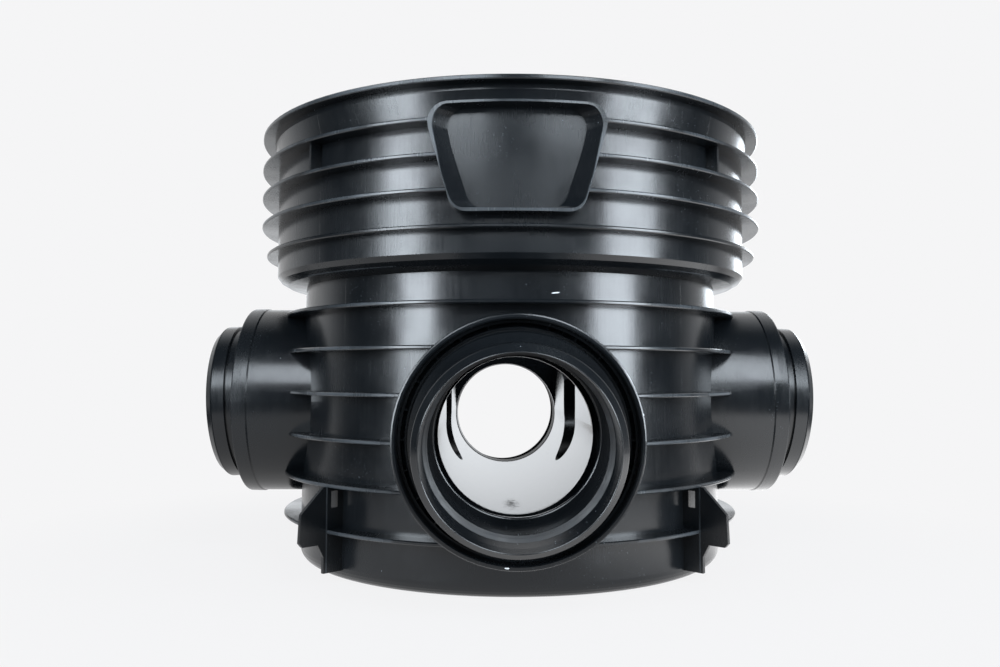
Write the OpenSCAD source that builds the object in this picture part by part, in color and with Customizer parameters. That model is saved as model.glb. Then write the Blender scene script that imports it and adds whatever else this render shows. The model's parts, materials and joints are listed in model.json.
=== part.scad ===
// Drain inspection chamber base: a one-piece moulded chamber with a ribbed riser collar,
// a cross of flow channels, and four ball sockets whose sleeves take 200 mm drain pipes.
// Millimetres. Z is up, the chamber stands on z = 0 and the name panel faces -Y.

/* [Chamber shell] */
// Height from the floor to the top of the rim
total_h = 600; // [580:1:640]
// How far the shell stands in from the riser's radius, just under the collar
neck_step = 32.7; // [28:0.1:36]
// How much wider the shell is at the top of its rounded foot
foot_flare = 3.7; // [1:0.1:8]
// Radius of the rounded edge under the shell
foot_round = 18; // [10:1:24]
// Wall thickness of the shell
wall = 6; // [4:0.5:8]

/* [Riser collar] */
// Inner radius of the collar, a sliding fit on a 670 mm riser pipe
riser_r = 337; // [335.5:0.5:338]
// Thickness of the collar wall
collar_wall = 8; // [6:0.5:10]
// Extra inner radius at the top of the lead-in
lead_in = 7; // [2:0.5:9]
// Height of the lead-in cone
lead_in_h = 28; // [10:1:35]
// How far the collar wall swells under the rim
rim_swell = 6; // [2:0.5:8]
// Height of the underside of the collar wall
collar_bottom_z = 401; // [398:0.5:404]
// Height of the ledge that the riser stands on
ledge_z = 399; // [397:0.5:402]
// How far the rim and the collar ribs stand out from the collar wall
collar_rib_out = 22.5; // [16:0.5:27]
// Thickness of the rim
rim_t = 5.5; // [4:0.5:8]
// Thickness of every rib
rib_t = 4.8; // [3:0.1:6]
// Underside of the lowest collar rib
collar_rib_z = 427.3; // [420:0.1:432]
// Spacing of the collar ribs
collar_rib_pitch = 40.7; // [38:0.1:42]
// How much smaller the lowest collar rib is
low_rib_step = 7; // [3:0.5:10]
// Chamfer on the edges of every rib
rib_chamfer = 1.2; // [0.5:0.1:2]

/* [Body ribs] */
// How far the body ribs stand out from the foot's radius
body_rib_out = 23.5; // [18:0.5:28]
// Underside of the lowest body rib
body_rib_z = 63.4; // [60:0.1:68]
// Spacing of the body ribs
body_rib_pitch = 57; // [55:0.5:58]
// Top of the flange under the neck
flange_top_z = 349; // [345:0.5:352]

/* [Channels] */
// How much smaller in radius the flow channels are than the pipe bore
channel_in = 8.5; // [5:0.5:10]
// Height of the main channel's centre line
main_z = 191; // [186:1:196]
// How much higher the side inlets lie
side_rise = 33; // [20:1:36]
// How far the channel walls stand in above the centre line
channel_wall_in = 0.5; // [0.2:0.1:2]
// Height of the benching where it meets the channel wall
bench_low_z = 240; // [236:1:250]
// Height of the benching at the chamber wall
bench_high_z = 316; // [310:1:322]

/* [Hubs] */
// Thickness of a hub's wall
hub_wall = 5; // [4:0.1:7]
// Height of the raised band round the hub's mouth
hub_band_t = 1.2; // [0.5:0.1:2.5]
// Width of the raised band
hub_band_w = 22; // [14:1:26]
// How far the hub's mouth stands in front of the ball's centre
hub_mouth = 32; // [28:0.5:32]
// Room for the ring and the seal between the ball and the hub's bore
hub_gap = 9.9; // [9.5:0.1:11]
// Chamfer at the hub's mouth
hub_chamfer = 1.5; // [0.5:0.1:2.5]

/* [Ball sockets] */
// How far the front and back balls' centres stand out from the foot's radius
main_reach = 66; // [60:0.5:72]
// How far the side balls' centres stand out from the foot's radius
side_reach = 44.5; // [41:0.5:52]
// Radius of the pipe bore, for a 200 mm pipe
pipe_bore_r = 100.5; // [100.2:0.1:101]
// How much larger in radius the ball is than the pipe bore
ball_wall = 20; // [19:0.1:22]
// Largest tilt of a sleeve either way
max_tilt = 7.5; // [5:0.5:7.5]
// How far the front sleeve hangs down
front_droop = 7.5; // [0:0.5:7.5]
// How far the side sleeves hang down
side_droop = 2.5; // [0:0.5:7.5]
// How far the back sleeve leans
back_lean = 4.8; // [0:0.1:7.5]
// Where it leans to, from straight down round its socket's axis
back_roll = 119; // [0:1:359]
// Radial clearance between the ball and its retaining ring
ball_gap = 0.3; // [0.2:0.05:0.6]
// Clearance round a ring or a seal in its seat
fit_gap = 0.1; // [0.05:0.05:0.2]
// How far the pipe stop stands in from the bore
stop_in = 8.5; // [5:0.5:10]
// Thickness of the pipe stop
stop_t = 12; // [8:0.5:14]
// Front shoulder of the ball, measured from its centre
ball_front = 19.5; // [17:0.5:22]
// Back face of the sleeve, measured behind the ball's centre
ball_back = 25; // [20:0.5:27]
// Thickness of the sleeve's neck
sleeve_wall = 8; // [7:0.1:9]
// How far the sleeve's front band stands out from the bore
band_step = 11.5; // [10:0.5:13]
// Front face of the band, measured from the ball's centre
band_front = 66; // [64:0.5:72]
// Width of the band
band_w = 18; // [14:0.5:18]
// Number of ribs in the hollow of the ball
ball_ribs = 12; // [8:1:16]
// Height of the seal seat in the bore
seal_seat_d = 5; // [4.5:0.1:6]
// Depth of the seal seat behind the band's front face
seal_seat_depth = 32; // [28:1:36]
// Width of the pipe seal
seal_w = 11.8; // [10:0.2:13]
// How far the pipe seal's lips stand into the bore, as a pipe holds them
seal_lip_in = 0.3; // [0:0.1:0.4]
// Length of the seal cap in front of the band
cap_l = 9.3; // [8:0.1:12]
// How far the cap's front edge stands out from the bore
cap_front_out = 3.9; // [3.5:0.1:6]
// Front face of the retaining ring, measured from the ball's centre
ring_front = 14; // [13:0.5:17]
// Back face of the retaining ring
ring_back = 1; // [0.5:0.5:2]

/* [Fins] */
// Thickness of a fin
fin_t = 5; // [3:0.5:8]
// How far a fin stands out from the foot's radius
fin_out = 62.5; // [52:0.5:70]
// Underside of a fin
fin_bottom_z = 15; // [10:1:22]

/* [Name panel] */
// Height of the panel's top edge
panel_top_z = 571; // [566:0.5:576]
// Height of the panel's bottom edge
panel_bottom_z = 444.5; // [438:0.5:448]
// Half of the panel's width at the top
panel_top_half = 110; // [100:1:116]
// Half of the panel's width at the bottom
panel_bottom_half = 74; // [66:1:80]
// Radius of the panel's corners
panel_corner = 22; // [12:1:26]
// Thickness of the frame above and below the panel
panel_frame = 2.5; // [2:0.5:5]

/* [Hidden] */
$fn = 96;
SIDES = ["front", "right", "back", "left"];
PARTS = ["hub_seal", "retainer_ring", "swivel_sleeve", "pipe_seal", "seal_cap"];

PP_BLACK = "#2b2f33";
PP_SLEEVE = "#33383d";
EPDM_BLACK = "#17181a";

over = 1;               // how far a cutter runs past the face that it opens
hub_root = 115;         // how far behind the ball's centre a hub starts
arc_steps = 6;          // straight lines in a rounded corner of an outline
rib_root = 12;          // how deep a rib starts inside the wall
body_rib_count = 5;
collar_rib_count = 4;
web_t = 5;              // webs under the floor
web_count = 8;
bench_shell = 6.5;      // thickness of the benching
neck_top_z = collar_bottom_z - 16;
neck_r = riser_r - neck_step;
foot_r = neck_r + foot_flare;
collar_r = riser_r + collar_wall;
collar_rib_r = collar_r + collar_rib_out;
body_rib_r = foot_r + body_rib_out;
fin_reach = foot_r + fin_out;
channel_r = pipe_bore_r - channel_in;
ball_r = pipe_bore_r + ball_wall;
hub_bore_r = ball_r + hub_gap;
hub_r = hub_bore_r + hub_wall;
stop_r = pipe_bore_r - stop_in;
sleeve_neck_r = pipe_bore_r + sleeve_wall;
band_r = pipe_bore_r + band_step;
seal_seat_r = pipe_bore_r + seal_seat_d;
seal_lip_r = pipe_bore_r - seal_lip_in;
cap_front_r = pipe_bore_r + cap_front_out;
neck_in_r = neck_r - wall;
well_r = shell_r(bench_high_z) - wall;
hub_floor_r = foot_r - 0.5;
bench_slope = (bench_high_z - bench_low_z) / (well_r - channel_r);
bench_axis_z = bench_low_z - bench_slope * channel_r;
ball_shell = 4;         // wall between the ball's surface and its hollow
tube_wall = 5;          // wall of the sleeve's inner tube
shoulder_t = 5.5;       // wall behind the ball's front shoulder
seal_groove_s = -6;     // middle of the hub seal's groove
seal_groove_d = 2.1;    // its depth
seal_groove_half = 6;   // half of its width
snap_s = 7.5;           // place and size of the ring's snap bead
snap_half = 3.5;
snap_t = 0.9;
ring_gap = 0.3;
ring_lip = 2.2;
ring_wall = 3;
ring_groove = 9;        // depth of the groove in the ring's front face
recess_front_r = collar_r + 27;  // planes between which the panel's recess tapers
recess_back_r = collar_r - 15;
recess_flare = [12.5, 16];       // how much wider than the panel its front plane is
recess_draw = [26.5, 35.5];      // how much narrower its back plane is
recess_drop = 8;                 // how much higher its back plane's lower edge is
gusset_t = 4;
fin_slot_w = 9.5;
fin_slot_h = 21.5;

// Outer radius of the shell at height z above the rounded foot
function shell_r(z) = foot_r + (neck_r - foot_r) * (z - foot_round) / (neck_top_z - foot_round);

// One rib of a comb outline, from its underside up, with chamfered edges
function rib_points(root, tip, z, t) = [
    [root, z],
    [tip - rib_chamfer, z],
    [tip, z + rib_chamfer],
    [tip, z + t - rib_chamfer],
    [tip - rib_chamfer, z + t],
    [root, z + t]
];

// Arc of an outline round centre c, from angle a0 to a1
function arc(c, r, a0, a1, steps = arc_steps) =
    [for (i = [0:steps]) c + r * [cos(a0 + (a1 - a0) * i / steps), sin(a0 + (a1 - a0) * i / steps)]];

// Upright trapezoid with rounded corners, wider at the top
function panel_outline(top_half, bottom_half, z0, z1, r) =
    let (lean = atan((top_half - bottom_half) / (z1 - z0)),
         top_in = r * tan(45 + lean / 2),
         bottom_in = r * tan(45 - lean / 2))
    concat(
        arc([top_half - top_in, z1 - r], r, 90, -lean),
        arc([bottom_half - bottom_in, z0 + r], r, -lean, -90),
        arc([-bottom_half + bottom_in, z0 + r], r, 270, 180 + lean),
        arc([-top_half + top_in, z1 - r], r, 180 + lean, 90)
    );

// Height of the centre line of socket k
function socket_z(k) = k % 2 == 0 ? main_z : main_z + side_rise;
function ball_centre(k) = foot_r + (k % 2 == 0 ? main_reach : side_reach);
function lean(k) = k == 0 ? front_droop : k == 2 ? back_lean : side_droop;
function roll(k) = k == 2 ? back_roll : 0;

// Places children at socket k, with +Z outwards and the origin at the ball's centre
module at_socket(k) {
    translate([0, 0, socket_z(k)])
        rotate([0, 0, 90 * k])
            rotate([90, 0, 0])
                translate([0, 0, ball_centre(k)])
                    children();
}

// The same, for what tilts with the sleeve
module at_sleeve(k) {
    at_socket(k) rotate([0, 0, roll(k)]) rotate([lean(k), 0, 0]) children();
}

module turned(points) {
    rotate_extrude() polygon(points);
}

module ball(r) {
    sphere(r = r);
}

// Solid of revolution of the shell and collar with their ribs
module shell_solid() {
    body_ribs = [for (i = [0:body_rib_count - 1])
        let (z = body_rib_z + i * body_rib_pitch)
        each rib_points(shell_r(z) - 0.1, body_rib_r, z, rib_t)];
    flange_z = flange_top_z - rib_t;
    collar_ribs = [for (i = [0:collar_rib_count - 1])
        each rib_points(collar_r, i == 0 ? collar_rib_r - low_rib_step : collar_rib_r,
            collar_rib_z + i * collar_rib_pitch, rib_t)];
    rim_z = total_h - rim_t;
    turned(concat(
        [[0, 0]],
        arc([foot_r - foot_round, foot_round], foot_round, -90, 0),
        body_ribs,
        rib_points(shell_r(flange_z), body_rib_r, flange_z, rib_t),
        [[neck_r, neck_top_z],
         [collar_r - 15, collar_bottom_z - 12],
         [collar_r - 5, collar_bottom_z - 6.5],
         [collar_r, collar_bottom_z]],
        collar_ribs,
        [[collar_r, rim_z - 31.5],
         [collar_r + rim_swell, rim_z - 6.5]],
        rib_points(collar_r + rim_swell, collar_rib_r, rim_z, rim_t),
        [[0, total_h]]
    ));
}

// Outside of one hub, from inside the shell to its mouth
module hub_solid() {
    band_back = hub_mouth - hub_band_w;
    band_out = hub_r + hub_band_t;
    turned([
        [0, -hub_root],
        [hub_r, -hub_root],
        [hub_r, band_back],
        [band_out, band_back + 2],
        [band_out, hub_mouth - 13],
        [band_out - 0.3, hub_mouth - 2],
        [band_out - 0.9, hub_mouth - 0.6],
        [band_out - 2.3, hub_mouth],
        [0, hub_mouth]
    ]);
}

// What the ball, its seal and its retaining ring need inside a hub
module hub_cavity() {
    snap_r = hub_bore_r + snap_t + ring_gap;
    turned([
        [0, -hub_root - 15],
        [hub_bore_r, -hub_root - 15],
        [hub_bore_r, seal_groove_s - seal_groove_half],
        [hub_bore_r + seal_groove_d, seal_groove_s - seal_groove_half],
        [hub_bore_r + seal_groove_d, seal_groove_s + seal_groove_half],
        [hub_bore_r, seal_groove_s + seal_groove_half],
        [hub_bore_r, snap_s - snap_half],
        [snap_r, snap_s - snap_half + 1.5],
        [snap_r, snap_s + snap_half - 1.5],
        [hub_bore_r, snap_s + snap_half],
        [hub_bore_r, hub_mouth - hub_chamfer],
        [hub_bore_r + hub_chamfer, hub_mouth],
        [hub_bore_r + hub_chamfer, hub_mouth + 20],
        [0, hub_mouth + 20]
    ]);
}

// Channel section: round below its centre line, with upright walls above it
module channel_section(r) {
    circle(r = r);
    translate([-r + channel_wall_in, 0])
        square([2 * (r - channel_wall_in), total_h]);
}

// Both channels, grown by t, as long as the chamber is wide
module channel_cross(t, reach) {
    for (k = [0, 1])
        translate([0, 0, socket_z(k)])
            rotate([0, 0, 90 * k])
                rotate([90, 0, 0])
                    translate([0, 0, -reach])
                        linear_extrude(height = 2 * reach)
                            channel_section(channel_r + t);
}

// Everything open to the top: lead-in, riser socket, well and channels
module upper_void() {
    turned([
        [0, bench_axis_z],
        [well_r, bench_high_z],
        [neck_in_r, neck_top_z],
        [neck_in_r, ledge_z],
        [riser_r, ledge_z],
        [riser_r, total_h - lead_in_h],
        [riser_r + lead_in, total_h],
        [riser_r + lead_in, total_h + over],
        [0, total_h + over]
    ]);
    intersection() {
        channel_cross(0, well_r + over);
        cylinder(r = well_r, h = ledge_z + over);
    }
    for (k = [0:3])
        translate([0, 0, socket_z(k)])
            rotate([0, 0, 90 * k])
                rotate([90, 0, 0])
                    translate([0, 0, well_r - channel_r])
                        cylinder(r = channel_r, h = hub_floor_r - well_r + channel_r + 20);
}

// Hollow under the channels and benching, divided by radial webs
module lower_void() {
    top_z = bench_high_z - bench_shell;
    difference() {
        turned([
            [0, -over],
            [foot_r - foot_round - wall, -over],
            [foot_r - foot_round - wall, 0],
            [foot_r - wall, foot_round],
            [shell_r(top_z) - wall, top_z],
            [0, bench_axis_z - bench_shell]
        ]);
        channel_cross(wall, well_r + 20);
        for (i = [0:web_count - 1])
            rotate([0, 0, 360 / web_count * i])
                translate([0, -web_t / 2, -over])
                    cube([foot_r, web_t, ledge_z]);
    }
}

// Lug at 45 degrees with a slot for a lifting strap beside the shell
module fin() {
    rib_under = body_rib_z + body_rib_pitch;
    slot_r = foot_r + 7.5;
    translate([0, fin_t / 2, 0])
        rotate([90, 0, 0])
            linear_extrude(height = fin_t)
                difference() {
                    polygon([
                        [foot_r - 4, fin_bottom_z],
                        [fin_reach - 35, fin_bottom_z],
                        [fin_reach - 35, fin_bottom_z + 20],
                        [fin_reach - 26.5, fin_bottom_z + 36],
                        [fin_reach - 4.5, fin_bottom_z + 36],
                        [fin_reach, fin_bottom_z + 41],
                        [fin_reach - 2, rib_under - 29.5],
                        [body_rib_r + 5, rib_under + 1],
                        [foot_r - 4, rib_under + 1]
                    ]);
                    translate([slot_r, rib_under - 4.5 - fin_slot_h])
                        square([fin_slot_w, fin_slot_h]);
                }
}

// Small upright between the two upper collar ribs
module gusset() {
    z = collar_rib_z + 2 * collar_rib_pitch;
    translate([collar_r - 3, -gusset_t / 2, z + rib_t / 2])
        cube([collar_rib_r - collar_r - 4, gusset_t, collar_rib_pitch]);
}

// Block on the front of the collar that carries the panel
module panel_block() {
    intersection() {
        rotate([90, 0, 0])
            translate([0, 0, collar_r - 60])
                linear_extrude(height = 120)
                    polygon(panel_outline(panel_top_half, panel_bottom_half,
                        panel_bottom_z, panel_top_z, panel_corner));
        difference() {
            cylinder(r = collar_rib_r, h = total_h - rim_t - 1);
            cylinder(r = collar_r - 3, h = total_h);
        }
    }
}

// Sloping recess of the panel, down to a bare curved field
module panel_recess() {
    difference() {
        hull() {
            rotate([90, 0, 0])
                translate([0, 0, recess_front_r])
                    linear_extrude(height = 0.1)
                        polygon(panel_outline(
                            panel_top_half + recess_flare[0],
                            panel_bottom_half + recess_flare[1],
                            panel_bottom_z + panel_frame,
                            panel_top_z - panel_frame, panel_corner));
            rotate([90, 0, 0])
                translate([0, 0, recess_back_r])
                    linear_extrude(height = 0.1)
                        polygon(panel_outline(
                            panel_top_half - recess_draw[0],
                            panel_bottom_half - recess_draw[1],
                            panel_bottom_z + panel_frame + recess_drop,
                            panel_top_z - panel_frame - 1, panel_corner));
        }
        cylinder(r = collar_r + 1.5, h = total_h);
    }
}

// The one-piece moulding
module chamber_body() {
    color(PP_BLACK)
        difference() {
            union() {
                shell_solid();
                for (k = [0:3])
                    at_socket(k) hub_solid();
                for (a = [45:90:315])
                    rotate([0, 0, a]) {
                        fin();
                        gusset();
                    }
                panel_block();
            }
            panel_recess();
            upper_void();
            lower_void();
            difference() {
                union() for (k = [0:3]) at_socket(k) hub_cavity();
                cylinder(r = hub_floor_r, h = total_h);
            }
        }
}

// Twin-lip elastomer ring between the hub and the ball
module hub_seal() {
    out = hub_bore_r + seal_groove_d - fit_gap;
    body_in = ball_r + 1.7;
    lip_in = ball_r + ball_gap;
    half = seal_groove_half - fit_gap;
    color(EPDM_BLACK)
        translate([0, 0, seal_groove_s])
            turned([
                [out, -half],
                [out, half],
                [body_in, half],
                [lip_in, half - 2],
                [body_in, half - 4.5],
                [body_in, 4.5 - half],
                [lip_in, 2 - half],
                [body_in, -half]
            ]);
}

// Snap-in ring that holds the ball, with a deep groove in its front face
module retainer_ring() {
    out = hub_bore_r - ring_gap;
    lip_front = sqrt(pow(ball_r + ball_gap, 2) - pow(ring_front, 2)) + ring_lip;
    color(PP_SLEEVE)
        difference() {
            turned([
                [ball_r - 16, ring_back],
                [out, ring_back],
                [out, snap_s - snap_half + 0.5],
                [out + snap_t, snap_s - snap_half + 2],
                [out + snap_t, snap_s + snap_half - 2],
                [out, snap_s + snap_half - 0.5],
                [out, ring_front],
                [out - ring_wall, ring_front],
                [out - ring_wall, ring_front - ring_groove],
                [lip_front, ring_front],
                [ball_r - 16, ring_front]
            ]);
            ball(ball_r + ball_gap);
        }
}

// Ball-backed sleeve: pipe bore, pipe stop and seal seat
module swivel_sleeve() {
    band_back = band_front - band_w;
    seat_back = band_front - seal_seat_depth;
    color(PP_SLEEVE)
        difference() {
            union() {
                intersection() {
                    ball(ball_r);
                    translate([0, 0, -ball_back])
                        cylinder(r = ball_r + over, h = ball_back + ball_front);
                }
                cylinder(r = sleeve_neck_r, h = band_back + 1);
                translate([0, 0, band_back])
                    turned([
                        [0, 0],
                        [band_r - 1, 0],
                        [band_r, 1],
                        [band_r, band_w - 0.6],
                        [band_r - 0.6, band_w],
                        [0, band_w]
                    ]);
                rotate([0, 0, -5])
                    translate([0, -band_r + 2, band_back + 5])
                        rotate([90, 0, 0])
                            cylinder(r = 2.2, h = 4.5);
            }
            translate([0, 0, -ball_back])
                turned([
                    [0, -over],
                    [stop_r + 2.5, -over],
                    [stop_r + 2.5, 0],
                    [stop_r + 0.4, stop_t - 3.5],
                    [stop_r, stop_t - 2.5],
                    [stop_r + 0.2, stop_t - 1.5],
                    [stop_r + 0.8, stop_t - 0.6],
                    [stop_r + 1.8, stop_t],
                    [0, stop_t]
                ]);
            translate([0, 0, stop_t - ball_back])
                cylinder(r = pipe_bore_r, h = seat_back + ball_back);
            translate([0, 0, seat_back])
                cylinder(r = seal_seat_r, h = seal_seat_depth + over);
            difference() {
                intersection() {
                    ball(ball_r - ball_shell);
                    translate([0, 0, -ball_back - over])
                        cylinder(r = ball_r, h = ball_front - shoulder_t + ball_back + over);
                }
                translate([0, 0, -ball_r])
                    cylinder(r = pipe_bore_r + tube_wall, h = 2 * ball_r);
                for (i = [0:ball_ribs - 1])
                    rotate([0, 0, 360 / ball_ribs * (i + 0.5)])
                        translate([pipe_bore_r, -2, -ball_back])
                            cube([ball_r - pipe_bore_r, 4, ball_r]);
            }
        }
}

// Elastomer ring with two lips that wipe the pipe
module pipe_seal() {
    out = seal_seat_r - fit_gap;
    back = band_front - seal_seat_depth + fit_gap;
    front = back + seal_w;
    web_in = seal_lip_r + 4.3;
    color(EPDM_BLACK)
        turned([
            [out, back],
            [out, front],
            [web_in - 1, front],
            [seal_lip_r, front - 5.8],
            [seal_lip_r + 0.8, front - 6.6],
            [web_in, front - 4],
            [web_in, front - 5],
            [seal_lip_r, back + 1],
            [seal_lip_r + 0.8, back],
            [web_in, back + 3],
            [web_in, back]
        ]);
}

// Front cap that keeps the pipe seal in its seat
module seal_cap() {
    out = seal_seat_r - 2 * fit_gap;
    back = band_front - seal_seat_depth + seal_w + 3 * fit_gap;
    flange = band_front + fit_gap;
    front = band_front + cap_l;
    color(PP_SLEEVE)
        turned([
            [cap_front_r - 3.7, back],
            [out, back],
            [out, flange],
            [band_r - 0.6, flange],
            [band_r - 0.2, flange + 0.5],
            [band_r - 0.8, flange + 1.6],
            [cap_front_r + 0.9, front - 1.4],
            [cap_front_r, front - 0.3],
            [cap_front_r - 0.7, front],
            [cap_front_r - 1.3, front - 0.4],
            [cap_front_r - 2.2, front - 14]
        ]);
}

chamber_body();
for (k = [0:3]) {
    at_socket(k) hub_seal();
    at_socket(k) retainer_ring();
    at_sleeve(k) swivel_sleeve();
    at_sleeve(k) pipe_seal();
    at_sleeve(k) seal_cap();
}
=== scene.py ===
# %% [markdown]
# Drain inspection chamber base, the looks
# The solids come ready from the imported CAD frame, in metres, with +Z up. This lesson dresses
# them: a camera and studio first, then one finish at a time, then the soft seals and the
# small repeated forms that the solids leave out.

# %% Frame
import json
import math

import bmesh
import bpy
from mathutils import Matrix, Vector


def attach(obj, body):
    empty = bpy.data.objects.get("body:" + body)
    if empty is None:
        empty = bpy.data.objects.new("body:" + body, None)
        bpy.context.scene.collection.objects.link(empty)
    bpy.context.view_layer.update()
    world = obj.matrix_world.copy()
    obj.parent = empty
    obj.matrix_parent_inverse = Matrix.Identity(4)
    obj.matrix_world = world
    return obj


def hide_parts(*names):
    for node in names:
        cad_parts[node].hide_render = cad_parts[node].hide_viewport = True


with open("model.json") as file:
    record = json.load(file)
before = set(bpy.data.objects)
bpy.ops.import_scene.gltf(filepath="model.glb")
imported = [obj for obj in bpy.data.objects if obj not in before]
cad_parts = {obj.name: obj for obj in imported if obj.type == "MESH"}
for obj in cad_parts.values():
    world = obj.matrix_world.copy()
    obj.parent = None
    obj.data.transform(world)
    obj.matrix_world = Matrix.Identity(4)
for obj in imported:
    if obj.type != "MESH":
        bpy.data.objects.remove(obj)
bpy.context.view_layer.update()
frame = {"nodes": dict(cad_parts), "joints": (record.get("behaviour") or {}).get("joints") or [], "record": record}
MM = 0.001
SIDES = ("front", "right", "back", "left")
joints = {joint["name"]: joint for joint in frame["joints"]}
mounts = {mount["name"]: mount for mount in frame["record"]["mounts"]}

# %% [markdown]
# Small tools
# Colours are written as the hex values a paint chart uses, and one function turns them to the
# linear values a renderer needs. One more adds a node with its settings and its links, so each
# finish below reads as a list of layers. Most marks lie where a few measures are past their
# limits, so a third function multiplies soft steps into a mask. The last two make a material
# and an object, which comes up again and again.


# %% Helpers
def linear(hex_colour):
    channels = [int(hex_colour[i:i + 2], 16) / 255 for i in (1, 3, 5)]
    return [c / 12.92 if c <= 0.04045 else ((c + 0.055) / 1.055) ** 2.4 for c in channels]


def add(tree, kind, inputs=None, **settings):
    """Adds a node; an input is a value, or the socket or the node that it is linked from."""
    node = tree.nodes.new(kind)
    for name, value in settings.items():
        setattr(node, name, value)
    for key, value in (inputs or {}).items():
        if isinstance(value, bpy.types.Node):
            value = next(output for output in value.outputs if output.enabled)
        if isinstance(value, bpy.types.NodeSocket):
            tree.links.new(value, node.inputs[key])
        else:
            node.inputs[key].default_value = value
    return node


def mask(tree, *steps):
    """Multiplies soft steps; each is a value and the two ends it goes from 0 to 1 between."""
    whole = 1.0
    for value, (start, full) in steps:
        step = add(tree, "ShaderNodeMapRange",
                   {"Value": value, "From Min": start, "From Max": full},
                   interpolation_type="SMOOTHSTEP")
        whole = add(tree, "ShaderNodeMath", {0: whole, 1: step}, operation="MULTIPLY")
    return whole


def new_material(name):
    material = bpy.data.materials.new(name)
    material.use_nodes = True
    material.node_tree.nodes.clear()
    return material, material.node_tree


def in_scene(name, data):
    """A new object of the data, linked into the scene."""
    thing = bpy.data.objects.new(name, data)
    bpy.context.scene.collection.objects.link(thing)
    return thing


# %% [markdown]
# Camera
# The lens is a little wider than normal and stands low, a bit left of the chamber's axis and
# just under half its height, looking slightly up. A camera looks along its own -Z, so its
# rotation is built from the line of sight and a small roll.

# %% Camera
EYE = Vector((-32.9, -1320.8, 260.9)) * MM
PITCH = 0.0484
YAW = 0.014
ROLL = 0.0025
LENS = 31.04
SENSOR = 36.0

sight = Vector((math.cos(PITCH) * math.sin(YAW), math.cos(PITCH) * math.cos(YAW), math.sin(PITCH)))
camera_data = bpy.data.cameras.new("studio_camera")
camera_data.lens = LENS
camera_data.sensor_width = SENSOR
camera = in_scene("studio_camera", camera_data)
camera.rotation_mode = "QUATERNION"
camera.rotation_quaternion = sight.to_track_quat("-Z", "Y")
camera.rotation_quaternion = (
    camera.rotation_quaternion.to_matrix() @ Matrix.Rotation(ROLL, 3, "Z")).to_quaternion()
camera.location = EYE
bpy.context.scene.camera = camera
bpy.context.scene.view_settings.view_transform = "Standard"
print("eye", [round(v, 3) for v in EYE], "lens", LENS)

# %% [markdown]
# Studio
# Black plastic shows little of its own colour. What the eye reads is what it mirrors. Two
# soft boxes stand left and right of the camera with a thin strip between them, two more hang
# higher up, one behind on the right draws the rim, and a wide faint wash lights the back. The
# world draws the room by direction: bright behind the chamber and almost dark round the
# camera. Camera rays see plain white all round, and mirror rays see it behind the chamber.

# %% World
BACKGROUND = "#f5f5f6"
ROOM_TINT = "#e4eef6"
ROOM_DARK = 0.04
BEHIND = (0.0, 0.8)     # the sideways direction is 0 and straight behind is 1

world = bpy.data.worlds.new("studio_room")
bpy.context.scene.world = world
world.use_nodes = True
tree = world.node_tree
tree.nodes.clear()
direction = add(tree, "ShaderNodeTexCoord").outputs["Generated"]
split = add(tree, "ShaderNodeSeparateXYZ", {0: direction})
behind = mask(tree, (split.outputs["Y"], BEHIND))
glow = add(tree, "ShaderNodeMath", {0: behind, 1: ROOM_DARK}, operation="MAXIMUM")
room = add(tree, "ShaderNodeBackground", {"Color": (*linear(ROOM_TINT), 1), "Strength": glow})
plain = add(tree, "ShaderNodeBackground", {"Color": (*linear(BACKGROUND), 1), "Strength": 1.0})
rays = add(tree, "ShaderNodeLightPath")
seen = add(tree, "ShaderNodeMath",
           {0: rays.outputs["Is Camera Ray"], 1: rays.outputs["Is Transmission Ray"]},
           operation="MAXIMUM")
mirrored = add(tree, "ShaderNodeMath", {0: rays.outputs["Is Glossy Ray"], 1: behind},
               operation="MULTIPLY")
seen = add(tree, "ShaderNodeMath", {0: seen, 1: mirrored}, operation="MAXIMUM")
mixed = add(tree, "ShaderNodeMixShader", {0: seen, 1: room, 2: plain})
add(tree, "ShaderNodeOutputWorld", {"Surface": mixed})


# %% Lamps
LAMP_TINT = "#e8f2fb"
AIM = Vector((0, 0, 0.35))


def soft_box(name, place, width, height, radiance):
    """An area lamp whose face has the given radiance, aimed at the middle of the chamber."""
    data = bpy.data.lights.new(name, "AREA")
    data.shape = "RECTANGLE"
    data.size = width
    data.size_y = height
    data.energy = radiance * math.pi * width * height
    data.color = linear(LAMP_TINT)
    lamp = in_scene(name, data)
    lamp.location = place
    lamp.rotation_euler = (AIM - Vector(place)).to_track_quat("-Z", "Y").to_euler()
    lamp.visible_camera = False


def around(azimuth, distance, height):
    """A point at an angle from the camera's side of the chamber, positive to its right."""
    angle = math.radians(azimuth)
    return (distance * math.sin(angle), -distance * math.cos(angle), height)


# Name, place, width, height and radiance
LAMPS = (("left_box", around(-47, 2.3, 0.65), 0.72, 1.1, 18.0),
         ("right_box", around(51, 2.3, 0.65), 0.94, 1.1, 18.0),
         ("front_strip", around(2, 2.2, 0.86), 1.3, 0.12, 3.5),
         ("left_high", around(-22, 2.2, 1.5), 0.9, 0.9, 10.0),
         ("right_high", around(23, 2.2, 1.85), 1.0, 1.4, 12.0),
         ("right_rim", around(136, 2.4, 0.85), 0.75, 0.7, 8.0),
         ("back_wash", (0, 2.6, 0.7), 3.2, 1.6, 0.7))
for lamp in LAMPS:
    soft_box(*lamp)

# %% [markdown]
# Floor
# The chamber stands on a white paper sweep. It keeps a faint shadow near the foot and fades
# to the plain background colour further out, so that no horizon shows. What the plastic
# mirrors of it is set apart as a glow of its own, painted light and not lamp light on the
# paper: it ends a metre out, is painted brighter towards the right box as a pool of light,
# and starts again behind the chamber.

# %% Floor
FLOOR_HALF = 5.0
FLOOR_Z = -0.0005

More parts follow.
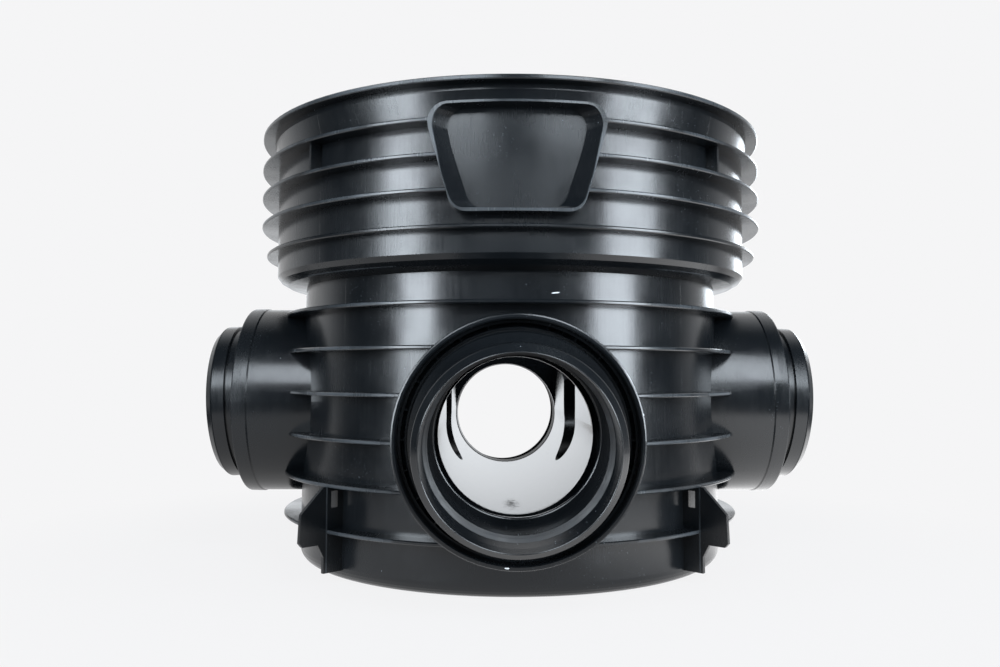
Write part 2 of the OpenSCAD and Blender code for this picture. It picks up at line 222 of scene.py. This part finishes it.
floor_mesh = bpy.data.meshes.new("paper_sweep")
corners = [(-FLOOR_HALF, -FLOOR_HALF), (FLOOR_HALF, -FLOOR_HALF),
           (FLOOR_HALF, FLOOR_HALF), (-FLOOR_HALF, FLOOR_HALF)]
floor_mesh.from_pydata([(x, y, FLOOR_Z) for x, y in corners], [], [(0, 1, 2, 3)])
floor = in_scene("paper_sweep", floor_mesh)
paper, tree = new_material("white_paper")
place = add(tree, "ShaderNodeTexCoord").outputs["Object"]
distance = add(tree, "ShaderNodeVectorMath", {0: place}, operation="LENGTH")

# %% Paper as the camera sees it
PAPER_LIT = 0.04        # the small share that takes shadows
PAPER_GLOW = 0.935      # the rest, so that the near paper matches the far paper
FADE_OUT = (0.45, 0.95)

white = (*linear(BACKGROUND), 1)
lit = add(tree, "ShaderNodeBsdfDiffuse", {"Color": (PAPER_LIT, PAPER_LIT, PAPER_LIT, 1)})
glow = add(tree, "ShaderNodeEmission", {"Color": white, "Strength": PAPER_GLOW})
near = add(tree, "ShaderNodeAddShader", {0: lit, 1: glow})
far = add(tree, "ShaderNodeEmission", {"Color": white, "Strength": 1.0})
shown = add(tree, "ShaderNodeMixShader",
            {0: mask(tree, (distance, FADE_OUT)), 1: near, 2: far})

# %% Paper as the plastic mirrors it, a painted glow
# Strengths of the painted glow, and where they change, in metres from the middle
DIM, BRIGHT = 0.04, 0.85
BOUNCE_END = {"From Min": 1.15, "From Max": 0.95, "To Min": DIM, "To Max": BRIGHT}
BOUNCE_RIGHT = {"From Min": 0.15, "From Max": 0.5, "To Min": 1.0, "To Max": 2.7}
BOUNCE_BEHIND = {"From Min": 0.2, "From Max": 0.8, "To Min": DIM, "To Max": BRIGHT}

split = add(tree, "ShaderNodeSeparateXYZ", {0: place})
ends, right, rear = [
    add(tree, "ShaderNodeMapRange", {"Value": value, **limits}, interpolation_type="SMOOTHSTEP")
    for value, limits in ((distance, BOUNCE_END), (split.outputs["X"], BOUNCE_RIGHT),
                          (split.outputs["Y"], BOUNCE_BEHIND))]
# Painted bounce light: for every ray but the camera's the paper glows, brighter towards the right box
painted_bounce = add(tree, "ShaderNodeMath", {0: ends, 1: right}, operation="MULTIPLY")
painted_bounce = add(tree, "ShaderNodeMath", {0: painted_bounce, 1: rear}, operation="MAXIMUM")
painted_glow = add(tree, "ShaderNodeEmission", {"Color": white, "Strength": painted_bounce})
rays = add(tree, "ShaderNodeLightPath")
surface = add(tree, "ShaderNodeMixShader",
              {0: rays.outputs["Is Camera Ray"], 1: painted_glow, 2: shown})
add(tree, "ShaderNodeOutputMaterial", {"Surface": surface})
floor_mesh.materials.append(paper)

# %% [markdown]
# Moulded polypropylene
# The chamber is one injection moulding in black polypropylene: a satin skin, faint upright
# drag marks from the mould, cloudy patches where the melt cooled at different speeds, and a
# witness line at each mould split. Handling adds thin scuffs, pale specks, rubbed rib edges
# and a few knocks that whitened the plastic. The channel is polished in the mould and has a
# patch of dried silt on its floor. The sleeves, caps and retaining rings are moulded in the
# same plastic with a finer grain, and go without the seams, rubs, knocks and silt. A painted
# image could hold these marks, but it would need the shapes unwrapped. Marks worked out from
# the place on the piece need no unwrapping and stay sharp close up.


# %% Scuffs and specks
SCUFF_SHOWS = 0.14
SPECK_SHOWS = 0.5


def scuffs_and_specks(tree, place):
    # Scuffs: thin slanting lines, in patches only
    leaning = add(tree, "ShaderNodeMapping",
                  {"Vector": place, "Rotation": (0.5, 0.9, 0.3), "Scale": (1, 0.035, 1)})
    lines = add(tree, "ShaderNodeTexNoise", {"Vector": leaning, "Scale": 420.0, "Detail": 1.0})
    patch = add(tree, "ShaderNodeTexNoise", {"Vector": place, "Scale": 9.0})
    scuff = mask(tree, (lines, (0.69, 0.75)), (patch, (0.52, 0.66)))
    scuff = add(tree, "ShaderNodeMath", {0: scuff, 1: SCUFF_SHOWS}, operation="MULTIPLY")
    # Pale specks about a millimetre wide, in one cell of ten; a cell is 13 mm across
    cells = add(tree, "ShaderNodeTexVoronoi", {"Vector": place, "Scale": 75.0})
    chance = add(tree, "ShaderNodeSeparateColor", {0: cells.outputs["Color"]})
    speck = mask(tree, (cells.outputs["Distance"], (0.06, 0.035)), (chance, (0.90, 0.92)))
    speck = add(tree, "ShaderNodeMath", {0: speck, 1: SPECK_SHOWS}, operation="MULTIPLY")
    return add(tree, "ShaderNodeMath", {0: scuff, 1: speck}, operation="MAXIMUM")


# %% Seams and rubbed edges
# Radii and heights in metres where a mark starts and where it is full
SEAM_WIDTH = (0.0011, 0.0005)
SEAM_FROM = (0.290, 0.296)
RIM_EDGE = (0.3660, 0.3672)
RIM_FROM = (0.34, 0.36)
BODY_EDGE = (0.3300, 0.3312)
BODY_EDGE_END = (0.3330, 0.3322)
CLEAR_OF_HUBS = (0.140, 0.150)
RUBBED_CLOUDS = (0.25, 0.75)


def seams(tree, along_x, along_y, radius):
    """Witness lines at 45 degrees, where the mould's four side parts met."""
    gap = add(tree, "ShaderNodeMath", {0: along_x, 1: along_y}, operation="SUBTRACT")
    gap = add(tree, "ShaderNodeMath", {0: gap}, operation="ABSOLUTE")
    return mask(tree, (gap, SEAM_WIDTH), (radius, SEAM_FROM))


def rubbed_edges(tree, along_x, along_y, z, radius, cloud):
    """Rub marks on the outermost edges of the rim, the collar ribs and the body ribs."""
    rim = mask(tree, (radius, RIM_EDGE), (z, RIM_FROM))
    nearer = add(tree, "ShaderNodeMath", {0: along_x, 1: along_y}, operation="MINIMUM")
    body = mask(tree, (radius, BODY_EDGE), (radius, BODY_EDGE_END), (nearer, CLEAR_OF_HUBS))
    edges = add(tree, "ShaderNodeMath", {0: rim, 1: body}, operation="MAXIMUM")
    return add(tree, "ShaderNodeMath", {0: edges, 1: mask(tree, (cloud, RUBBED_CLOUDS))},
               operation="MULTIPLY")


# %% Knocks
KNOCK_DEPTH = 1 / 80    # half of how deep a knock's colour reaches, in metres
KNOCK_EDGE = (1.5, 1.1)
# Where, half the length, half the height, and the lean in degrees
KNOCKS = (((0.0475, -0.2960, 0.3590), 0.0060, 0.0009, 6),
          ((-0.0120, -0.4060, 0.0585), 0.0030, 0.0010, 0),
          ((0.1335, -0.4050, 0.2200), 0.0012, 0.0022, 0),
          ((-0.2250, -0.2500, 0.1350), 0.0040, 0.0008, 60))


def knocks(tree, place, drag):
    """Whitened ovals, with an edge that the drag marks make ragged."""
    ragged = add(tree, "ShaderNodeMath", {0: drag, 1: 0.9}, operation="MULTIPLY")
    whitened = 0.0
    for where, half_long, half_high, lean in KNOCKS:
        local = add(tree, "ShaderNodeVectorRotate",
                    {"Vector": place, "Center": where, "Angle": math.radians(lean)},
                    rotation_type="Y_AXIS")
        away = add(tree, "ShaderNodeVectorMath", {0: local, 1: where}, operation="SUBTRACT")
        sizes = (1 / half_long, 1 / KNOCK_DEPTH, 1 / half_high)
        away = add(tree, "ShaderNodeVectorMath", {0: away, 1: sizes}, operation="MULTIPLY")
        away = add(tree, "ShaderNodeVectorMath", {0: away}, operation="LENGTH")
        edge = add(tree, "ShaderNodeMath", {0: away, 1: ragged}, operation="ADD")
        whitened = add(tree, "ShaderNodeMath", {0: whitened, 1: mask(tree, (edge, KNOCK_EDGE))},
                       operation="MAXIMUM")
    return whitened


# %% Dried silt
SILT_PLACE = (-0.003, -0.225, 0.100)
SILT_SPREAD = (0.016, 0.065, 0.020)
SILT_ROUGH = {"From Min": 2.0, "From Max": 1.0, "To Min": 0.0, "To Max": 0.22}


def dried_silt(tree, place):
    """Roughness that silt adds, where it dried on the channel's floor in a ragged patch."""
    away = add(tree, "ShaderNodeVectorMath", {0: place, 1: SILT_PLACE}, operation="SUBTRACT")
    away = add(tree, "ShaderNodeVectorMath", {0: away, 1: SILT_SPREAD}, operation="DIVIDE")
    away = add(tree, "ShaderNodeVectorMath", {0: away}, operation="LENGTH")
    crumbs = add(tree, "ShaderNodeTexNoise",
                 {"Vector": place, "Scale": 130.0, "Detail": 4.0, "Roughness": 0.7})
    edge = add(tree, "ShaderNodeMath", {0: crumbs, 1: 2.4, 2: away}, operation="MULTIPLY_ADD")
    return add(tree, "ShaderNodeMapRange", {"Value": edge, **SILT_ROUGH},
               interpolation_type="SMOOTHSTEP")


# %% Polypropylene
BLACK_PLASTIC = "#0e1114"
SCUFFED = "#7d858c"
WHITENED = "#d4d8db"
SATIN = 0.20
SATIN_CLOUDS = {"From Min": 0.3, "From Max": 0.7,
                "To Min": SATIN - 0.06, "To Max": SATIN + 0.03}
PLASTIC_IOR = 1.49
RUB_SHOWS = 0.22
CHANNEL_WALL = (0.2990, 0.3005)


def moulded_plastic(name, grain_mm, chamber):
    """Black polypropylene; the chamber's has seams, rubs, knocks and a polished channel."""
    material, tree = new_material(name)
    place = add(tree, "ShaderNodeTexCoord").outputs["Object"]
    # Drag marks: 3 mm wide and a hand long, upright
    drawn = add(tree, "ShaderNodeMapping", {"Vector": place, "Scale": (1, 1, 0.04)})
    drag = add(tree, "ShaderNodeTexNoise",
               {"Vector": drawn, "Scale": 330.0, "Detail": 2.0, "Roughness": 0.6})
    # Cooling clouds: patches about 80 mm across
    cloud = add(tree, "ShaderNodeTexNoise",
                {"Vector": place, "Scale": 12.0, "Detail": 3.0, "Roughness": 0.55})
    grain = add(tree, "ShaderNodeTexNoise",
                {"Vector": place, "Scale": 1 / (grain_mm * MM), "Detail": 2.0})
    grain = add(tree, "ShaderNodeMath", {0: grain, 1: 0.35}, operation="MULTIPLY")
    ridges = add(tree, "ShaderNodeMath", {0: drag, 1: 0.25}, operation="MULTIPLY")
    height = add(tree, "ShaderNodeMath", {0: grain, 1: ridges}, operation="ADD")
    wear = scuffs_and_specks(tree, place)
    satin = add(tree, "ShaderNodeMapRange", {"Value": cloud, **SATIN_CLOUDS},
                interpolation_type="SMOOTHSTEP")
    ridges = add(tree, "ShaderNodeMath", {0: drag, 1: 0.10}, operation="MULTIPLY")
    rough = add(tree, "ShaderNodeMath", {0: satin, 1: ridges}, operation="ADD")
    knock = 0.0

    if chamber:
        x, y, z = add(tree, "ShaderNodeSeparateXYZ", {0: place}).outputs
        along_x = add(tree, "ShaderNodeMath", {0: x}, operation="ABSOLUTE")
        along_y = add(tree, "ShaderNodeMath", {0: y}, operation="ABSOLUTE")
        flat = add(tree, "ShaderNodeCombineXYZ", {0: x, 1: y, 2: 0.0})
        radius = add(tree, "ShaderNodeVectorMath", {0: flat}, operation="LENGTH")
        # The channels are polished in the mould, so no grain shows inside the shell
        outside = mask(tree, (radius, CHANNEL_WALL))
        height = add(tree, "ShaderNodeMath", {0: height, 1: outside}, operation="MULTIPLY")
        rough = add(tree, "ShaderNodeMix", {0: outside, 2: SATIN, 3: rough})
        rough = add(tree, "ShaderNodeMath", {0: rough, 1: dried_silt(tree, place)},
                    operation="ADD")
        line = add(tree, "ShaderNodeMath", {0: seams(tree, along_x, along_y, radius), 1: 0.9},
                   operation="MULTIPLY")
        height = add(tree, "ShaderNodeMath", {0: height, 1: line}, operation="ADD")
        rub = rubbed_edges(tree, along_x, along_y, z, radius, cloud)
        rub = add(tree, "ShaderNodeMath", {0: rub, 1: RUB_SHOWS}, operation="MULTIPLY")
        wear = add(tree, "ShaderNodeMath", {0: wear, 1: rub}, operation="MAXIMUM")
        knock = knocks(tree, place, drag)

    bump = add(tree, "ShaderNodeBump", {"Strength": 0.35, "Distance": 0.00035, "Height": height})
    dark, pale = [(*(c * share for c in linear(BLACK_PLASTIC)), 1) for share in (0.8, 1.25)]
    colour = add(tree, "ShaderNodeMix", {0: cloud, 6: dark, 7: pale}, data_type="RGBA")
    for marks, shade in ((wear, SCUFFED), (knock, WHITENED)):
        colour = add(tree, "ShaderNodeMix", {0: marks, 6: colour, 7: (*linear(shade), 1)},
                     data_type="RGBA")
    dull = add(tree, "ShaderNodeMath", {0: wear, 1: 0.2}, operation="MULTIPLY")
    rough = add(tree, "ShaderNodeMath", {0: rough, 1: dull}, operation="ADD")
    shader = add(tree, "ShaderNodeBsdfPrincipled",
                 {"Base Color": colour, "Roughness": rough, "IOR": PLASTIC_IOR,
                  "Normal": bump})
    add(tree, "ShaderNodeOutputMaterial", {"Surface": shader})
    return material


body_plastic = moulded_plastic("black_polypropylene_moulded", 1.6, chamber=True)
sleeve_plastic = moulded_plastic("black_polypropylene_smooth", 1.2, chamber=False)

# %% [markdown]
# EPDM rubber
# The seals are moulded in black EPDM, which is matt and a little dusty with the talc that
# keeps it from sticking. It is the only soft material here.


# %% Rubber
RUBBER_BLACK = "#141517"
TALC_GREY = "#25272a"
RUBBER_IOR = 1.5
RUBBER_ROUGH = {"From Min": 0.3, "From Max": 0.7, "To Min": 0.42, "To Max": 0.6}


def moulded_rubber(name):
    material, tree = new_material(name)
    place = add(tree, "ShaderNodeTexCoord").outputs["Object"]
    talc = add(tree, "ShaderNodeTexNoise", {"Vector": place, "Scale": 45.0, "Detail": 4.0})
    pores = add(tree, "ShaderNodeTexNoise", {"Vector": place, "Scale": 900.0})
    colour = add(tree, "ShaderNodeMix",
                 {0: mask(tree, (talc, (0.45, 0.75))), 6: (*linear(RUBBER_BLACK), 1),
                  7: (*linear(TALC_GREY), 1)}, data_type="RGBA")
    bump = add(tree, "ShaderNodeBump", {"Strength": 0.3, "Distance": 0.0002, "Height": pores})
    rough = add(tree, "ShaderNodeMapRange", {"Value": talc, **RUBBER_ROUGH},
                interpolation_type="SMOOTHSTEP")
    shader = add(tree, "ShaderNodeBsdfPrincipled",
                 {"Base Color": colour, "Roughness": rough, "IOR": RUBBER_IOR,
                  "Normal": bump})
    add(tree, "ShaderNodeOutputMaterial", {"Surface": shader})
    return material


rubber = moulded_rubber("black_epdm_rubber")

# %% [markdown]
# Finishes on the solids
# The solids bring one material slot each. They keep their meshes; only the slots change.

# %% Assign
for name, solid in frame["nodes"].items():
    if name == "chamber_body":
        finish = body_plastic
    elif "seal_" in name and not name.startswith("seal_cap"):
        finish = rubber
    else:
        finish = sleeve_plastic
    for slot in solid.material_slots:
        slot.material = finish
print("finished solids", len(frame["nodes"]))


# %% [markdown]
# Rings
# Seals are shapes of revolution. A closed outline of radius and height is turned round a
# socket's axis, then its normals are made consistent, because turning can leave them inside
# out.

# %% Turning
TURN_STEPS = 160
SHARP_ANGLE = math.radians(35)


def socket_matrix(side, tilted):
    """Frame of a socket: origin at the ball's centre, Z outwards, Y upwards."""
    joint = joints[side + "_tilt"]
    outward = Vector(joints[side + "_turn"]["axis"])
    if tilted:
        outward = Vector(mounts["pipe_" + side]["axis"])
    across = Vector((0, 0, 1)).cross(outward).normalized()
    up = outward.cross(across)
    matrix = Matrix((across, up, outward)).transposed().to_4x4()
    return Matrix.Translation(joint["pos_m"]) @ matrix


def turned_ring(name, outline, matrix, material):
    """Mesh object of a closed (radius, height) outline in millimetres, turned round Z."""
    mesh = bpy.data.meshes.new(name)
    form = bmesh.new()
    rows = []
    for step in range(TURN_STEPS):
        angle = 2 * math.pi * step / TURN_STEPS
        across, up = MM * math.cos(angle), MM * math.sin(angle)
        rows.append([form.verts.new(matrix @ Vector((r * across, r * up, h * MM)))
                     for r, h in outline])
    count = len(outline)
    for step in range(TURN_STEPS):
        here, after = rows[step], rows[(step + 1) % TURN_STEPS]
        for i in range(count):
            j = (i + 1) % count
            form.faces.new((here[i], after[i], after[j], here[j]))
    bmesh.ops.recalc_face_normals(form, faces=form.faces)
    form.to_mesh(mesh)
    form.free()
    mesh.shade_smooth()
    mesh.set_sharp_from_angle(angle=SHARP_ANGLE)
    mesh.materials.append(material)
    return in_scene(name, mesh)


def rounded(tip, radius, start, end, steps=5):
    """Points round the rounded tip of a lip or ridge, centred on tip."""
    angles = [math.radians(start + (end - start) * i / steps) for i in range(steps + 1)]
    return [(tip[0] + radius * math.cos(a), tip[1] + radius * math.sin(a)) for a in angles]


# %% [markdown]
# Pipe seals
# Each sleeve holds a rubber ring with two lips that lean inwards and back. The solid has them
# pressed flat by a pipe. With no pipe in, they stand a few millimetres further into the bore,
# so a piece with free lips takes the solid's place.

# %% Pipe seals
SEAL_OUT = 105.4
SEAL_BACK = 34.1
SEAL_FRONT = 45.9
FRONT_LIP = (98.2, 40.6)
BACK_LIP = (97.0, 35.2)
LIP_ROUND = (0.6, 110, 280)

# Outlines are (radius, height) points in millimetres, in order round the section
seal_outline = (
    [(SEAL_OUT, SEAL_BACK), (SEAL_OUT, SEAL_FRONT), (103.6, SEAL_FRONT), (102.6, 45.2)]
    + rounded(FRONT_LIP, *LIP_ROUND)
    + [(101.3, 41.9), (102.4, 41.2)]
    + rounded(BACK_LIP, *LIP_ROUND)
    + [(100.6, 36.4), (102.0, 34.9), (102.6, SEAL_BACK)])
for side in SIDES:
    seal = turned_ring("lip_seal_" + side, seal_outline, socket_matrix(side, True), rubber)
    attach(seal, "sleeve_" + side)
    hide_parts("pipe_seal_" + side)
print("lip seals", len(SIDES), "faces each", TURN_STEPS * len(seal_outline))

# %% [markdown]
# Hub seals
# A second rubber ring lies in a groove of the hub and wipes the ball with two soft ridges.
# The piece rounds the ridges and hollows the back, as the moulded ring has them.

# %% Hub seals
HUB_SEAL_OUT = 132.4
HUB_SEAL_MID = -6.0
HUB_SEAL_HALF = 5.9
BACK_HOLLOW = 0.8
RIDGE_R = 121.5
RIDGE_APART = 3.9
RIDGE_ROUND = (0.65, 110, 250)

hollow_r = HUB_SEAL_OUT - BACK_HOLLOW
hub_outline = (
    [(HUB_SEAL_OUT, -HUB_SEAL_HALF), (HUB_SEAL_OUT, -1.6), (hollow_r, -0.8),
     (hollow_r, 0.8), (HUB_SEAL_OUT, 1.6), (HUB_SEAL_OUT, HUB_SEAL_HALF),
     (123.0, HUB_SEAL_HALF), (122.0, 5.2)]
    + rounded((RIDGE_R, RIDGE_APART), *RIDGE_ROUND)
    + [(122.4, 1.6), (122.8, 0.0), (122.4, -1.6)]
    + rounded((RIDGE_R, -RIDGE_APART), *RIDGE_ROUND)
    + [(122.0, -5.2), (123.0, -HUB_SEAL_HALF)])
hub_outline = [(r, h + HUB_SEAL_MID) for r, h in hub_outline]
for side in SIDES:
    seal = turned_ring("ball_seal_" + side, hub_outline, socket_matrix(side, False), rubber)
    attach(seal, "chamber")
    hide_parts("hub_seal_" + side)

# %% [markdown]
# Ring webs
# The snap-in retaining ring is thin, so its front groove is bridged by small webs all round.
# They are the same shape many times over, which is what Geometry Nodes are for: a circle of
# points, one web on each, then the instances made real, because an export drops them.

# %% Web tree
WEB_COUNT = 24
# The ring of points and one web, in metres: its length lies along the radius
WEB_SIZES = {"Radius": 0.1255, "Height": 0.0105, "Length": 0.005, "Thickness": 0.0012,
             "Depth": 0.005}


def web_tree():
    tree = bpy.data.node_groups.new("ring_webs", "GeometryNodeTree")
    tree.interface.new_socket("Geometry", in_out="OUTPUT", socket_type="NodeSocketGeometry")
    kinds = {"Count": ("NodeSocketInt", WEB_COUNT)}
    kinds.update((name, ("NodeSocketFloat", value)) for name, value in WEB_SIZES.items())
    for name, (kind, value) in kinds.items():
        socket = tree.interface.new_socket(name, in_out="INPUT", socket_type=kind)
        socket.default_value = value
    finish = tree.interface.new_socket("Material", in_out="INPUT",
                                       socket_type="NodeSocketMaterial")
    given = tree.nodes.new("NodeGroupInput")
    size = add(tree, "ShaderNodeCombineXYZ", {0: given.outputs["Length"],
                                              1: given.outputs["Thickness"],
                                              2: given.outputs["Depth"]})
    web = add(tree, "GeometryNodeMeshCube", {"Size": size})
    ring = add(tree, "GeometryNodeMeshCircle", {"Vertices": given.outputs["Count"],
                                                "Radius": given.outputs["Radius"]})
    index = add(tree, "GeometryNodeInputIndex")
    turn = add(tree, "ShaderNodeMath", {0: index, 1: 2 * math.pi}, operation="MULTIPLY")
    turn = add(tree, "ShaderNodeMath", {0: turn, 1: given.outputs["Count"]},
               operation="DIVIDE")
    spin = add(tree, "ShaderNodeCombineXYZ", {0: 0.0, 1: 0.0, 2: turn})
    placed = add(tree, "GeometryNodeInstanceOnPoints",
                 {"Points": ring, "Instance": web, "Rotation": spin})
    real = add(tree, "GeometryNodeRealizeInstances", {0: placed})
    lift = add(tree, "ShaderNodeCombineXYZ", {0: 0.0, 1: 0.0, 2: given.outputs["Height"]})
    moved = add(tree, "GeometryNodeTransform", {"Geometry": real, "Translation": lift})
    dressed = add(tree, "GeometryNodeSetMaterial", {"Geometry": moved,
                                                    "Material": given.outputs["Material"]})
    add(tree, "NodeGroupOutput", {0: dressed})
    return tree, finish.identifier


def plain_mesh_of(name, tree, material_input, material, matrix):
    """Runs a tree on an empty mesh and returns the result as a plain mesh object."""
    seed = in_scene(name + "_seed", bpy.data.meshes.new(name + "_seed"))
    modifier = seed.modifiers.new("nodes", "NODES")
    modifier.node_group = tree
    modifier[material_input] = material
    evaluated = seed.evaluated_get(bpy.context.evaluated_depsgraph_get())
    mesh = bpy.data.meshes.new_from_object(evaluated)
    seed.modifiers.remove(modifier)
    bpy.data.objects.remove(seed)
    mesh.name = name
    mesh.transform(matrix)
    return in_scene(name, mesh)


# %% Webs
tree, material_input = web_tree()
for side in SIDES:
    webs = plain_mesh_of("ring_webs_" + side, tree, material_input, sleeve_plastic,
                         socket_matrix(side, False))
    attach(webs, "ring_" + side)
    print(webs.name, "faces", len(webs.data.polygons))

# %% [markdown]
